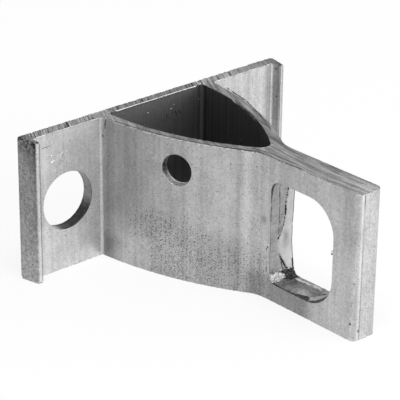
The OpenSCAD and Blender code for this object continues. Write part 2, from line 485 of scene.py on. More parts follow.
def windowTool(mesh):
    w = window
    near, far, top, bottom = -w["near"], -w["far"], w["top"], w["bottom"]
    corners = [Vector(c) for c in ((near, top), (far, top), (far, bottom), (near, bottom))]
    loop = []
    for i, radius in enumerate(w["rounds"]):
        start, centre, end = roundCorner(corners[i - 1], corners[i], corners[(i + 1) % 4], radius)
        if loop:
            extendPath(loop, linePoints(loop[-1], start, w["step"]))
        extendPath(loop, arcPoints(centre, start, end, w["step"]))
    extendPath(loop, linePoints(loop[-1], loop[0], w["step"])[:-1])
    normals = [-n for n in loopNormals(loop)]
    halfLug = section["lug"] / 2
    stations = crossSteps(-halfLug, halfLug, w["across"], w["fineAcross"])

    def tearAt(y, z):  # x at which the smooth punched metal ends and the torn metal begins
        ragged = 0.22 * wobble(y * 0.3, z * 1.3, 4) + 0.12 * wobble(y, z * 3.1, 9)
        if y > near - 3:
            return follow(crack, z) + ragged
        return -0.4 + 1.5 * wobble(y * 0.12, z * 0.12, 4) + 3 * ragged

    def narrowed(y, z, x):  # the opening is a little smaller on the far side of the lug
        share = (x + halfLug) / (2 * halfLug)
        swell = follow(farSwell, z) * smooth(near - 3.6, near - 2.2, y)
        return max(share ** 1.5 * swell, share * w["rise"] * smooth(bottom + 1.8, bottom + 0.2, z))

    def out(i, x):
        y, z = loop[i]
        tear = tearAt(y, z)
        onNear = smooth(near - 3.2, near - 1.2, y)
        rolled = w["rollOver"] * (0.75 + 0.5 * wobble(y * 0.2, z * 0.2, 1))
        edge = rolledEdge(0.5, rolled, x + halfLug)
        lines = 0.012 * wobble(y * 2.2, z * 2.2, 30)
        opened = onNear * (1 - 0.8 * smooth(-3, -6, z) * smooth(-10, -7, z))
        groove = opened * w["crackDepth"] * max(0, 1 - abs(x - tear) / w["crackWidth"])
        torn = smooth(0.05, 0.4, x - tear)
        rough = w["tear"] * (1 - 0.9 * onNear) * (
            wobble(y * 0.8, z * 0.8, x * 0.8) + 0.6 * wobble(y * 2.1, z * 2.1, x * 1.6))
        lip = 0.12 * smooth(3.7, 4.1, x) * (0.5 + 0.5 * wobble(y, z * 0.6, 14))
        nearFoot = smooth(-12.5, -14.5, z) * smooth(near - 4.5, near - 1.5, y)
        pulled = 0.42 * nearFoot * wobble(y * 1.3, z * 1.3, x * 1.3)
        broken = w["break"] * (1 - onNear) * smooth(bottom + 0.5, bottom + 2, z)
        return edge + lines + groove + torn * (broken + rough) + lip + pulled - narrowed(y, z, x)

    def place(x, i):
        move = out(i, min(max(x, -halfLug), halfLug))
        return x, loop[i].x + normals[i].x * move, loop[i].y + normals[i].y * move

    def finish(station, i):
        y, z = loop[i]
        x = station + 0.1
        ragged = 0.4 * wobble(y * 1.3, z * 1.3, x * 1.3)
        tear = tearAt(y, z)
        if y > -60.2 + 0.8 * ragged and x + ragged < 0.4 and z < -14.35 + 0.6 * ragged:
            return "smear"  # at the foot of the wall by the webs, and dark beside it
        if (y > -61 - 1.5 * smooth(-0.3, 4, x) + 0.9 * ragged and x + ragged > -0.3
                and z < -14.2 + ragged):
            return "tornDark"
        if z < bottom + 0.8 or (y < -74 and z < -10):
            return ledgeFinish(x, y, ragged)
        mark = nearWallMark(x, y, z, tear, ragged) if y > near - 2.5 else None
        return mark or ("snapped" if x > tear else "punched")

    cutTube(mesh, stations, len(loop), place, finish)


boltHole = {"spacing": 70, "radius": 9, "rollOver": 0.45, "break": 0.12, "turns": 200,
            "across": 0.3, "fineAcross": [0, 0.1, 0.25, 0.5]}


def boltHoleTool(mesh, side):
    b = boltHole
    stations = crossSteps(-section["flange"], 0, b["across"], b["fineAcross"])
    centre = side * b["spacing"] / 2

    def radius(angle, y):
        c, s = math.cos(angle), math.sin(angle)
        rolled = b["rollOver"] * (0.8 + 0.5 * wobble(c * 1.2 + side, s * 1.2, 2))
        edge = rolledEdge(0.55, rolled, y + section["flange"])
        lines = 0.015 * wobble(c * 14 + side, s * 14, 5)
        broke = smooth(-1.9 + 0.5 * wobble(c * 3, s * 3, side), -1.4, y)
        rough = 0.06 * wobble(c * 9, s * 9, y * 1.4)
        return b["radius"] + edge + lines + broke * (b["break"] + rough)

    def place(y, i):
        angle = -2 * math.pi * i / b["turns"]
        r = radius(angle, min(max(y, -section["flange"]), 0))
        return centre + r * math.cos(angle), y, r * math.sin(angle)

    cutTube(mesh, stations, b["turns"], place, lambda y, i: "boltWall")


webHole = {"radius": 4.75, "y": 31, "z": 13.3, "chamfer": 0.16, "deepEdge": -1.75,
           "reach": 7, "step": 0.25, "turns": 140}


def webHoleTool(mesh):
    h = webHole
    bowRound = section["webOuterRound"]
    web = outerBow()
    turn = math.asin((h["y"] + web.y) / bowRound)
    outward = Vector((-math.cos(turn), -math.sin(turn), 0))
    across = Vector((-outward.y, outward.x, 0))
    middle = Vector((-web.x - bowRound * math.cos(turn), -h["y"], h["z"]))
    stations = [h["reach"] - h["step"] * k for k in range(round(2 * h["reach"] / h["step"]) + 1)]
    angles = [2 * math.pi * k / h["turns"] for k in range(h["turns"])]

    def heightOver(along, i):  # over the bowed face, which falls away beside the hole's middle
        return along + (h["radius"] * math.cos(angles[i])) ** 2 / (2 * bowRound)

    def place(along, i):
        cosine, sine = math.cos(angles[i]), math.sin(angles[i])
        height = heightOver(along, i)
        r = (h["radius"] + h["chamfer"] * smooth(-0.3, 0.05, height)
             + 0.012 * wobble(height * 5, cosine, sine)
             + 0.02 * wobble(cosine * 4, sine * 4, 8))
        return middle + outward * along + across * r * cosine + Vector((0, 0, r * sine))

    def finish(along, i):
        return "drilledEdge" if heightOver(along, i) < h["deepEdge"] else "drilled"

    cutTube(mesh, stations, h["turns"], place, finish)


dents = [  # finish, middle, half sizes along X, Y and Z
    ("dent", (19.2, -0.3, 23.1), (0.55, 0.8, 0.45)),
    ("tornDark", (-50.1, -0.8, 23), (0.8, 0.9, 0.45)),
    ("tornDark", (-50.1, -2.2, 23.2), (0.45, 0.8, 0.4)),
    ("tornDark", (-49.6, -4.3, 23.25), (0.5, 0.8, 0.45)),
    ("tornDark", (-49.2, -6.2, 23.2), (0.5, 0.8, 0.4)),
    ("dent", (-48.6, -7.9, 23.2), (0.8, 0.3, 0.35)),
    ("torn", (48.9, -7.7, 23.3), (0.9, 0.6, 0.6)),
    ("dent", (-22.15, -5.7, 20.9), (0.3, 0.35, 1.5)),
    ("dent", (-22, -4.7, 17.4), (0.35, 0.35, 0.4)),
    ("dent", (-50.5, -0.4, -21.9), (0.8, 1, 0.9)),
    ("dent", (-48.4, -7.8, -21.95), (0.8, 0.5, 0.6)),
    ("dent", (-4, -93, -20.6), (0.5, 0.45, 0.6)),
    ("dent", (-4.45, -91.3, -16.6), (0.25, 0.4, 0.5)),
    ("dent", (-3.9, -92.9, -13.2), (0.35, 0.3, 0.5)),
    ("dent", (-4.5, -91.5, -10.9), (0.15, 0.2, 0.5)),
    ("dent", (-2.7, -93, -18.8), (0.5, 0.15, 0.45)),
    ("dent", (-4.3, -92.2, -4), (0.22, 0.25, 0.35)),
    ("dent", (4.4, -92.9, -5.1), (0.35, 0.35, 0.5)),
    ("dent", (47.6, -5.6, 21.6), (0.3, 0.4, 0.4)),
    ("dent", (47.6, -6.3, 12.4), (0.3, 0.35, 0.45)),
    ("dent", (50.4, -2, -21.8), (0.6, 0.8, 0.5)),
    ("dent", (-4.5, -57.2, -6.1), (0.2, 0.3, 0.5)),
    ("dent", (-4.5, -57.4, -12.4), (0.18, 0.25, 0.9)),
]


def lumpyBall(mesh, middle, size, seed, slot):
    ball = bmesh.ops.create_icosphere(mesh, subdivisions=3, radius=1)["verts"]
    for vert in ball:
        way = vert.co.copy()
        swell = 1 + 0.28 * wobble(way.x * 1.7 + seed, way.y * 1.7, way.z * 1.7)
        vert.co = Vector(middle) + Vector(w * s * swell for w, s in zip(way, size))
    for face in {f for v in ball for f in v.link_faces}:
        face.material_index = slot


def makeTools():
    mesh = bmesh.new()
    windowTool(mesh)
    boltHoleTool(mesh, -1)
    boltHoleTool(mesh, 1)
    webHoleTool(mesh)
    for seed, (finish, middle, size) in enumerate(dents):
        lumpyBall(mesh, middle, size, seed * 3.7, finishes.index(finish))
    bmesh.ops.recalc_face_normals(mesh, faces=mesh.faces)
    return objectFrom(mesh, "tools")


def makeBracket():
    blank = makeBlank()
    print("blank swept,", len(blank.data.polygons), "faces")
    tools = makeTools()
    for made in (blank, tools):
        for name in finishes:
            made.data.materials.append(materials[name])
    cut = blank.modifiers.new("cut", "BOOLEAN")
    cut.operation = "DIFFERENCE"
    cut.solver = "MANIFOLD"
    cut.object = tools
    depsgraph = bpy.context.evaluated_depsgraph_get()
    data = bpy.data.meshes.new_from_object(blank.evaluated_get(depsgraph))
    blank.modifiers.clear()
    blank.data = data
    bpy.data.objects.remove(tools)
    data.shade_smooth()
    data.set_sharp_from_angle(angle=math.radians(section["sharpAngle"]))
    weighted = blank.modifiers.new("normals", "WEIGHTED_NORMAL")
    weighted.keep_sharp = True
    print("bracket cut,", len(data.polygons), "faces")
    return blank


# Burrs curled out along sawn edges, dark lines beside them, and scratches: threads sunk in the
# metal

strands = [  # finish, thickest radius, share of the way that it covers, points
    ("burr", 0.21, 0.92, ((-16.2, -3), (16.8, -3))),
    ("burr", 0.17, 0.85, ((-46.5, -4), (-23, -4))),
    ("burr", 0.15, 0.55, ((23.2, -4), (46.8, -4))),
    ("burr", 0.26, 0.55, ((-21.3, -9.4), (-20, -17.4), (-18.1, -25.5), (-15.6, -32.9))),
    ("tornDark", 0.28, 0.8, ((-21, -8.9), (-19.5, -16.9), (-17.4, -25.1), (-14.7, -33))),
    ("burr", 0.15, 0.5, ((-15.6, -32.9), (-12.6, -39.5), (-9, -46.5), (-5.5, -52.4))),
    ("tornDark", 0.28, 0.82, ((-14.9, -33), (-12, -39.5), (-8.4, -46.5), (-4.9, -52.4))),
    ("tornDark", 0.24, 0.95,
     ((-8.6, -45.6), (-4.3, -52.5), (-4.25, -58), (-4.1, -63), (-3.6, -70))),
    ("tornDark", 0.15, 0.85, ((-4.1, -49.5), (-2.5, -55.1), (-2.6, -60), (-2.2, -66.8))),
    ("burr", 0.22, 0.6, ((16.9, -18.4), (16.4, -19.8), (15.6, -21.9))),
    ("burr", 0.08, 0.4, ((17.6, -9), (17, -17), (14.6, -26), (10.6, -36))),
    ("burr", 0.12, 0.5, ((-4.35, -60), (-4.4, -90.5))),
    ("tornDark", 0.2, 0.75, ((22.4, -10), (19.6, -22), (15, -33), (9, -44))),
    ("burr", 0.15, 0.9, ((-19.3, -0.9), (-19.8, -3), (-20.2, -5.8), (-21, -9.4))),
    ("burr", 0.12, 0.8, ((-18.1, -1.2), (-18.35, -4))),
]
hairs = [  # finish, radius, points in space
    ("scratch", 0.07, ((-38.6, -4, 15), (-37.4, -4, 15.1), (-36.1, -4, 16.3))),
    ("scratch", 0.07, ((-41.3, -4, 12.9), (-41, -4, 13.6), (-39.5, -4, 14.2))),
    ("tornDark", 0.09, ((-44.1, -4, 19.1), (-42.5, -4, 19), (-41.4, -4, 19.2))),
    ("tornDark", 0.16, ((-21.96, -5.95, 22.8), (-22, -5.85, 20.9))),
    ("tornDark", 0.12, ((2.2, -3, 15.7), (2.9, -3, 15))),
    ("tornDark", 0.16, ((4, -3, 16.8), (5.3, -3, 15.3))),
    ("tornDark", 0.12, ((4.15, -3, 15.8), (4.15, -3, 14.8))),
    ("tornDark", 0.1, ((5.2, -3, 16.6), (5.9, -3, 17.1))),
    ("tornDark", 0.1, ((6.55, -3, 17.2), (6.7, -3, 16.4))),
    ("tornDark", 0.13, ((7.6, -3, 17.3), (8, -3, 16.3), (8.6, -3, 15.1))),
    ("tornDark", 0.16, ((9, -3, 16.7), (10.2, -3, 15.6))),
    ("scratch", 0.14, ((6.1, -3, 18.2), (6.2, -3, 17.6))),
    ("scratch", 0.1, ((7.2, -3, 19.3), (7.3, -3, 18.9))),
    ("scratch", 0.16, ((-3.2, -3, 19.2), (-3, -3, 18.9))),
    ("scratch", 0.12, ((17.2, -3, 18.6), (17.3, -3, 18.2))),
    ("markAndShadowLine", 0.1, ((38.9, -4, 20.7), (39.1, -4, 19.2), (39.1, -4, 17.9))),
    ("markAndShadowLine", 0.06, ((45.6, -4, -21.2), (45.6, -4, 22.6))),
    # these two lines along the lips' front inner edges are painted shadow; the two above are marks
    ("markAndShadowLine", 0.08, ((-47.7, -7.72, -21.2), (-47.7, -7.72, 22.6))),
    ("markAndShadowLine", 0.1, ((47.7, -7.72, -21.2), (47.7, -7.72, 22.6))),
]
specks = [  # small bright spots on the left flange: x, z, half sizes along X and Z
    (-40.7, 15.8, 0.26, 0.26), (-35.2, 15.7, 0.17, 0.19), (-34.9, 13, 0.15, 0.17),
    (-35.7, 12.6, 0.18, 0.18), (-36.8, 10.8, 0.15, 0.26), (-42.3, 11.7, 0.15, 0.21),
    (-39.4, 10.6, 0.17, 0.15), (-38.7, 13.9, 0.18, 0.12), (-33.8, 11.8, 0.12, 0.15),
]
blobs = [  # finish, middle, half sizes along X, Y and Z
    ("burr", (-4.3, -83.3, 2.75), (0.3, 0.42, 0.42)),
    # each dark blob sits just below the burr blob before it, as its painted shadow
    ("tornDark", (-4.35, -83.15, 2), (0.2, 0.3, 0.25)),
    ("burr", (-4.5, -57.9, -4.4), (0.1, 0.2, 0.35)),
    ("tornDark", (-4.45, -57.7, -5.2), (0.12, 0.25, 0.4)),
]
threadShape = {
    "strandStep": 0.3, "hairStep": 0.25, "sides": 6, "thinnest": 0.01, "speckDepth": 0.06,
}


def thread(mesh, centres, radii, finish):
    sides = threadShape["sides"]
    turns = [math.radians(360 / sides * k) for k in range(sides)]
    rings = []
    for i, centre in enumerate(centres):
        way = (centres[min(i + 1, len(centres) - 1)] - centres[max(i - 1, 0)]).normalized()
        side = way.orthogonal().normalized()
        lift = way.cross(side)
        rings.append([centre + radii[i] * (side * math.cos(t) + lift * math.sin(t)) for t in turns])
    tube(mesh, rings, lambda k, i: threadFinishes.index(finish))


def makeThreads():
    mesh = bmesh.new()
    for seed, (finish, thickest, share, corners) in enumerate(strands, 1):
        path = pathThrough(corners, threadShape["strandStep"])
        centres, radii = [], []
        for i, point in enumerate(path):
            rough = 0.5 + 0.5 * wobble(point.x * 0.8, point.y * 0.8, seed)
            lump = 0.5 + 0.5 * wobble(point.x * 2.7, point.y * 2.7, seed + 0.5)
            ends = clamp01(min(i, len(path) - 1 - i) / 3)
            shown = smooth(1 - share, 1.15 - share, rough)
            radius = thickest * ends * shown * (0.35 + 0.9 * lump)
            radius = max(threadShape["thinnest"], radius)
            centres.append(Vector((point.x, point.y, high.z - radius)))
            radii.append(radius)
        thread(mesh, centres, radii, finish)
    for finish, radius, corners in hairs:
        inward = Vector((0, 0.35 * radius + 0.02, 0))  # half sunk into the face that it lies on
        path = [p + inward for p in pathThrough(corners, threadShape["hairStep"])]
        thread(mesh, path, [radius] * len(path), finish)
    spots = [("scratch", (x, -section["flange"], z), (wide, threadShape["speckDepth"], tall))
             for x, z, wide, tall in specks]
    for seed, (finish, middle, size) in enumerate(spots + blobs):
        lumpyBall(mesh, middle, size, seed * 2.3, threadFinishes.index(finish))
    bmesh.ops.recalc_face_normals(mesh, faces=mesh.faces)
    threads = objectFrom(mesh, "edgeThreads")
    for name in threadFinishes:
        threads.data.materials.append(materials[name])
    threads.data.shade_smooth()
    return threads


# Shader maths: a wire wraps a socket, and an expression on wires adds the nodes

def operator(operation, reflected=False):  # reflected: the wire stands on the right
    def method(wire, other):
        return wire.combine(operation, *((other, wire) if reflected else (wire, other)))
    return method


class Wire:
    __add__, __radd__ = operator("ADD"), operator("ADD", True)
    __sub__, __rsub__ = operator("SUBTRACT"), operator("SUBTRACT", True)
    __mul__, __rmul__ = operator("MULTIPLY"), operator("MULTIPLY", True)
    __pow__ = operator("POWER")

    def __init__(self, graph, socket):
        self.graph = graph
        self.socket = socket

    def combine(self, operation, first, second):
        vector = any(isinstance(x, Wire) and x.socket.type == "VECTOR" for x in (first, second))
        kind = "VectorMath" if vector else "Math"
        return self.graph.add(kind, {"operation": operation}, {0: first, 1: second})

    def size(self):
        return self.graph.add("Math", {"operation": "ABSOLUTE"}, {0: self})

    def part(self, axis):
        return self.graph.add("SeparateXYZ", {}, {0: self}, axis)

    def between(self, start, end):  # 0 below start, 1 above end, smooth in between
        sockets = {"Value": self, "From Min": start, "From Max": end}
        return self.graph.add("MapRange", {"interpolation_type": "SMOOTHSTEP"}, sockets)


class Graph:
    def __init__(self, name, tree=None):
        if tree is None:
            self.material = bpy.data.materials.new(name)
            self.material.use_nodes = True
            tree = self.material.node_tree
        self.tree = tree
        tree.nodes.clear()

    def add(self, kind, settings, sockets, out=0):  # any node: settings first, then its sockets
        node = self.tree.nodes.new("ShaderNode" + kind)
        for name, value in settings.items():
            setattr(node, name, value)
        for key, value in sockets.items():
            if isinstance(value, Wire):
                self.tree.links.new(value.socket, node.inputs[key])
            else:
                node.inputs[key].default_value = value
        node.location = (240 * len(self.tree.nodes) % 2400, -30 * len(self.tree.nodes))
        return Wire(self, node.outputs[out]) if len(node.outputs) else None

    def place(self):  # position on the bracket in millimetres
        return self.add("TexCoord", {}, {}, "Object") * (1 / mm, 1 / mm, 1 / mm)

    def stretched(self, x, y, z):
        return self.place() * (x, y, z)

    def length(self, vector):
        return self.add("VectorMath", {"operation": "LENGTH"}, {0: vector}, "Value")

    def noise(self, vector, scale, detail, roughness=0.5):
        sockets = {"Vector": vector, "Scale": scale, "Detail": detail, "Roughness": roughness}
        return self.add("TexNoise", {}, sockets)

    def blend(self, share, first, second):
        sockets = {0: share, 6: first, 7: second}
        return self.add("Mix", {"data_type": "RGBA"}, sockets, 2)

    def tone(self, level):
        return self.add("CombineColor", {}, {0: level, 1: level, 2: level})

    def finish(self, colour, roughness, height, depth, metallic=1.0):
        bump = self.add("Bump", {}, {"Height": height, "Distance": depth * mm, "Strength": 1.0})
        shader = self.add("BsdfPrincipled", {}, {
            "Base Color": colour, "Roughness": roughness, "Metallic": metallic, "Normal": bump})
        self.add("OutputMaterial", {}, {"Surface": shader})
        return self.material


def grey(level):
    return (level, level, level, 1)


def pitMask(g, chance, scale, size):  # small round pits, in the given share of the cells
    cells = {"Vector": g.stretched(1, 1, 1.4), "Scale": scale}
    near = g.add("TexVoronoi", {}, cells, "Distance").between(size, 0.5 * size)
    return near * (g.add("TexVoronoi", {}, cells, "Color").part(0) + chance).between(0.98, 1.02)


def scratchMask(g, turn):  # short fine lines in one direction
    axis = (math.cos(turn), math.sin(turn), 0.6)
    turned = g.add("VectorRotate", {}, {"Vector": g.place(), "Axis": axis, "Angle": 0.9 + turn})
    return g.noise(turned * (0.16, 3.0, 3.0), 1.0, 2, 0.4).between(0.69, 0.75)


def zoneSum(g, zones, masks):  # adds up the zones of a table, each with its amount
    place = g.place()
    axes = dict(zip("xyz", (place.part(axis) for axis in range(3))))
    axes["side"] = axes["x"].size()
    total = 0
    for amount, *limits in zones:
        share = amount
        for limit in limits:
            if limit not in masks:
                axis, *middle, start, end = limit
                wire = (axes[axis] - middle[0]).size() if middle else axes[axis]
                masks[limit] = wire.between(start, end)
            share = masks[limit] * share
        total = share + total
    return total


# A zone is the share by which it lightens or darkens the metal, and then where it lies: the name
# of a mask, an axis with the values between which the zone fades in, or an axis with the middle of
# a band and the distances between which that band fades in. "side" is x on both sides alike.
skinZones = [
    (0.38, "front"), (-0.2, "front", "right"),  # the flanges' front faces, painted lighter, less so on the right
    # more painted light high on the left flange, beside the left web low down, and on the right
    # flange towards its lip, where the lip's shadow falls; painted shade low on the left flange
    # near the web
    (0.22, "front", "left", ("z", 2, 14)),
    (0.03, "front", "left", ("side", 29, 25)),
    (0.12, "front", "left", ("side", 29, 25), ("z", -11, -13)),
    (0.32, "front", "right", ("side", 37.5, 43), ("side", 47, 46)),
    (-0.1, "front", "left", ("side", 32, 29), ("z", -18.5, -20.5)),
    (-0.43, "lipEnd"), (0.1, "lipEnd", ("z", 2, -4)),  # the plate's two ends and their lips: the end faces painted in shade, less towards the bottom and more high at the front
    (0.12, "lipEnd", ("z", -8, -17)), (-0.16, "lipEnd", ("z", 12, 17), ("y", -2, -4)),
    # a real scuff by the sawn edge, painted shade on the lips' inner faces, painted light on the
    # right flange at its lip's foot, and a painted highlight on the lips' front faces
    (-0.36, "rubbed"), (-0.32, "lipInner"), (0.5, "lipFoot"),
    (0.45, "lipNose", "right", ("side", 48.2, 47.9)), (0.1, "lipNose", "left"),
    (-0.18, "foot"),  # the webs, from the foot to the lug: painted shade where each web meets its flange
    (-0.33, ("y", -4.3, -5.2), ("y", -15, -8), ("z", -12, -17), ("side", 25, 23.5)),
    # painted shade high on the web, along its lower edge and low down
    (-0.15, ("y", -5, -8), ("y", -37, -30), ("z", -9, -2)),
    (-0.1, ("y", -15, -18), ("y", -33, -29), ("z", -18.5, -20.5)),
    (-0.05, ("y", -8, -12), ("y", -60, -50), ("z", -2, -8)),
    (0.03, "calm"), (-0.06, "pitted"), (-0.4, "smudge"),
    # painted bands of highlight and shade along the far web, darker lower down
    (0.07, "webFar", ("y", -50.9, 1.5, 0.5)), (-0.1, "webFar", ("y", -48, 2, 0.8)),
    (-0.05, "webFar", ("y", -54.3, 1.6, 0.6)), (-0.07, "webFar", ("y", -45, -41)),
    (-0.07, "webFar", ("z", -4, -12)),
    (-0.27, ("z", -12, -16.5), ("y", -78, -71), ("y", -49.2, -51.5)),  # the lug and its tip: painted shade low on the lug
    (-0.18, ("z", -12, -16.5), ("y", -78, -71), ("y", -57, -61)),
    # painted light low near the tip and painted shade high there, painted light on the tip face, a
    # painted highlight on the tip's round, and a painted shade line where that round begins, darker
    # low down and darkest at the top
    (0.12, ("y", -79, -84), ("y", -92, -91), ("z", 4, -6)),
    (-0.05, ("y", -79, -84), ("y", -92, -91), ("z", 13, 17)),
    (0.25, ("y", -92.7, -92.9)), (0.22, "tipRound"),
    (-0.22, "crease"), (-0.2, "crease", ("z", 11, 3)), (-0.45, "crease", ("z", 17, 21)),
]
skinTone = {"dark": 0.31, "contrast": 0.355, "scratch": 0.95, "pit": 0.12}


def skinMasks(g, worn):  # zones that take more than a few limits, by name
    place = g.place()
    x, y, z = place.part(0).size(), place.part(1), place.part(2)
    nearSide = place.part(0).between(1, -1)
    rub = g.noise(place, 0.7, 4, 0.8).between(0.42, 0.56)
    lipEnd = (x - 0.231 * y).between(50.25, 50.6) * y.between(-7.9, -7.2)
    lipInner = x.between(47.2, 47.5) * (1 - lipEnd) * y.between(-4.3, -4.8) * y.between(-7.3, -6.9)
    left, right = place.part(0).between(-10, -14), place.part(0).between(10, 14)
    front = x.between(22.6, 23.6) * (1 - lipEnd) * y.between(-0.5, -3)
    calm = z.between(-9.5, -13) * y.between(-25, -21) * y.between(-8, -12)
    pitTop = (z + 5 * y.between(-32, -50)).between(1, -7)
    fromSmudge = g.length((place - (-4.5, -56.1, 3.0)) * (0.4, 0.6, 0.42))
    # front, lipEnd and lipInner also mark the flanges' front faces, the end faces and the lips'
    # inner faces, where skinZones paints light and shade
    masks = {"left": left, "right": right, "front": front, "lipEnd": lipEnd, "lipInner": lipInner}
    masks["calm"] = calm  # part of the web with few pits
    # besides a real scuff, the masks below mark where skinZones paints a highlight on the lips'
    # front faces, light at the right lip's foot, shade where the webs meet the flanges and bands on
    # the far web
    masks["lipNose"] = x.between(46.4, 47) * (1 - lipEnd) * y.between(-7.1, -7.4)
    masks["lipFoot"] = front * right * x.between(41.5, 46) * (1 - lipInner) * y.between(-5.5, -4.5)
    masks["rubbed"] = lipEnd * left * z.between(17.5, 22) * rub  # by the sawn edge
    masks["foot"] = y.between(-4.3, -5) * y.between(-10, -7) * x.between(25, 22.9)
    masks["webFar"] = y.between(-37, -42) * y.between(-58, -56)
    masks["pitted"] = y.between(-13, -18) * pitTop * y.between(-63, -57) * (1 - calm)
    masks["dense"] = (y.between(-15, -19) * y.between(-36, -28)
                      * z.between(0, -4) * z.between(-14, -10))
    masks["smudge"] = fromSmudge.between(1, 0.3) * worn.between(0.4, 0.55)  # beside the window
    # where skinZones paints a highlight on the tip's round, and below it the shade line where that
    # round begins
    masks["tipRound"] = (y + 0.025 * z).between(-91.6, -92.3) * x.between(2.5, 2.7) * nearSide
    masks["crease"] = (x - 2.4).size().between(0.42, 0.16) * y.between(-92.6, -92.85) * nearSide
    return masks


def skinFinish():
    g = Graph("extrudedSkin")
    place = g.place()
    streak = g.noise(g.stretched(1, 1, 0.01), 0.5, 1.5, 0.5)
    fine = g.noise(g.stretched(1, 1, 0.02), 2.1, 3, 0.6)
    cloud = g.noise(g.stretched(1, 1, 0.7), 0.12, 3, 0.55)
    grain = g.noise(place, 2.8, 3, 0.9)
    worn = g.noise(place, 0.9, 5, 0.8)
    masks = skinMasks(g, worn)
    lipEnd, pitted = masks["lipEnd"], masks["pitted"]
    patches = g.noise(place, 0.2, 3, 0.6).between(0.28, 0.52)
    chance = 0.03 + pitted * (0.38 * patches + 0.14 * masks["dense"]) + 0.16 * lipEnd
    pits = pitMask(g, chance, 2.1, 0.55)
    scratches = scratchMask(g, 0.4) + scratchMask(g, 2.1)
    tone = (0.5 + 0.35 * (1 - lipEnd) * (streak - 0.5) + 0.2 * (fine - 0.5) + 0.45 * (cloud - 0.5)
            + (1.2 + 0.6 * pitted) * (grain - 0.5) + (0.6 + 1.0 * lipEnd) * (worn - 0.5))
    bright = tone.between(0.1, 0.9)
    # the zones paint light and shade into the colour, along with a real scuff, pits and a smudge
    level = (skinTone["dark"] + skinTone["contrast"] * bright) * (1 + zoneSum(g, skinZones, masks))
    colour = g.blend(scratches * 0.35, g.tone(level), grey(skinTone["scratch"]))
    colour = g.blend(pits * 0.75, colour, grey(skinTone["pit"]))
    roughness = 0.52 - 0.12 * bright + 0.2 * pits + 0.08 * lipEnd
    height = 0.35 * fine + 0.3 * streak + 0.3 * grain + 0.3 * worn - 0.8 * pits
    return g.finish(colour, roughness, height, 0.05)


def hollowFinish():  # painted shade: darker than the outer skin throughout; the flat wall painted paler than the webs, less so lower down, and the corners painted darker
    g = Graph("hollowSkin")
    streak = g.noise(g.stretched(1, 1, 0.012), 0.8, 4, 0.65)
    grain = g.noise(g.place(), 2.0, 3, 0.7)
    specks = pitMask(g, 0.012, 0.9, 0.3)
    bright = (0.6 * streak + 0.4 * grain).between(0.3, 0.7)
    place = g.place()
    x, y, z = place.part(0).size(), place.part(1), place.part(2)
    # painted shade in the corners, painted light on the flat wall, less of it lower down
    corner = x.between(16.6, 17.6) * y.between(-6, -4.6)
    middle = y.between(-5, -3.2) * (1 - 0.66 * z.between(6, -2))
    level = (0.16 + 0.15 * bright) * (0.68 + 1.57 * middle) * (1 - 0.45 * corner)
    colour = g.blend(specks, g.tone(level), grey(0.95))
    return g.finish(colour, 0.46 - 0.1 * bright, streak + 0.2 * grain, 0.04)


sawnZones = [  # the middle wall, the flanges, the webs and the lug, each row as in skinZones
    (-0.42, ("side", 18, 16.5), ("y", -3.8, -3.2)), (-0.14, ("x", -22.5, -24)),
    (-0.1, ("x", 23, 25)), (-0.25, ("x", 37, 44)),
    (-0.13, "webTop", ("x", -3, -5)), (-0.2, "webTop", ("x", -3, -5), ("y", -26, -32)),
    (-0.22, "webTop", ("x", 3, 5)), (-0.14, ("y", -48, -56)), (0.3, ("y", -74, -86)),
]
faintZones = [  # where the saw's strokes are faint, and by what share
    (0.7, "webTop", ("x", -3, -5)), (0.45, "webTop", ("x", 3, 5)), (0.7, ("x", 26, 36)),
    (0.6, "offWeb", ("x", -17.5, -19), ("x", -25, -23.5)),
]


def sawnFinish():  # strokes along the blade's arcs, weaker on the lug than elsewhere
    g = Graph("sawnEnd")
    place = g.place()
    x, y = place.part(0), place.part(1)
    across = y - saw["bladeY"]
    u = x + (saw["bladeRound"] ** 2 - across * across) ** 0.5
    marks = g.add("CombineXYZ", {}, {0: u, 1: y * 0.04, 2: 0.0})
    coarse = g.noise(marks, 0.7, 2, 0.6)
    fine = g.noise(marks, 1.9, 3, 0.8)
    thin = g.noise(marks, 2.4, 2, 0.7).between(0.42, 0.58)
    score = g.noise(marks, 1.15, 3, 0.75).between(0.5, 0.42)
    gleam = g.noise(marks, 1.5, 3, 0.75).between(0.52, 0.6)
    grain = g.noise(place, 2.0, 3, 0.9)
    cloud = g.noise(place, 0.2, 3, 0.6)
    worn = g.noise(place, 1.5, 4, 0.9)
    strong = y.between(-56, -44)
    webTop = y.between(-5, -8) * y.between(-56, -52)
    masks = {"webTop": webTop, "offWeb": 1 - webTop}
    faint = zoneSum(g, faintZones, masks)
    tone = 0.24 * coarse + 0.36 * fine + 0.12 * cloud + 0.28 * grain
    level = 0.2 + 0.03 * y.between(-6, -3) + 0.34 * tone.between(0.42, 0.58)
    level = level * (1 - (0.22 + 0.65 * strong) * (1 - faint) * score)  # dark strokes
    level = level + (0.04 + 0.31 * strong) * (1 - faint) * gleam * (1 - score)  # bright ones
    level = level + (1 - strong) * (0.13 * (thin - 0.5) + 0.25 * (grain - 0.5))
    level = level + 0.2 * faint * (grain.between(0.35, 0.65) - 0.5)
    level = level * (1 + zoneSum(g, sawnZones, masks))
    mottled = 0.07 + (0.36 - 0.2 * x.between(-48.2, -49.4)) * worn.between(0.46, 0.6)
    level = g.add("Mix", {}, {0: x.between(-45.8, -47.6), 2: level, 3: mottled})  # the left lip
    level = level * (1 - 0.2 * x.between(46.5, 48))
    height = 0.6 * fine + 0.4 * coarse - 0.5 * score
    return g.finish(g.tone(level), 0.56 - 0.2 * level, height, 0.1, 0.45)


def burrFinish():
    g = Graph("burrEdge")
    flakes = g.noise(g.place(), 1.5, 3, 0.7)
    colour = g.blend(flakes.between(0.42, 0.56), grey(0.16), grey(0.92))
    return g.finish(colour, 0.42 - 0.1 * flakes, flakes, 0.06)


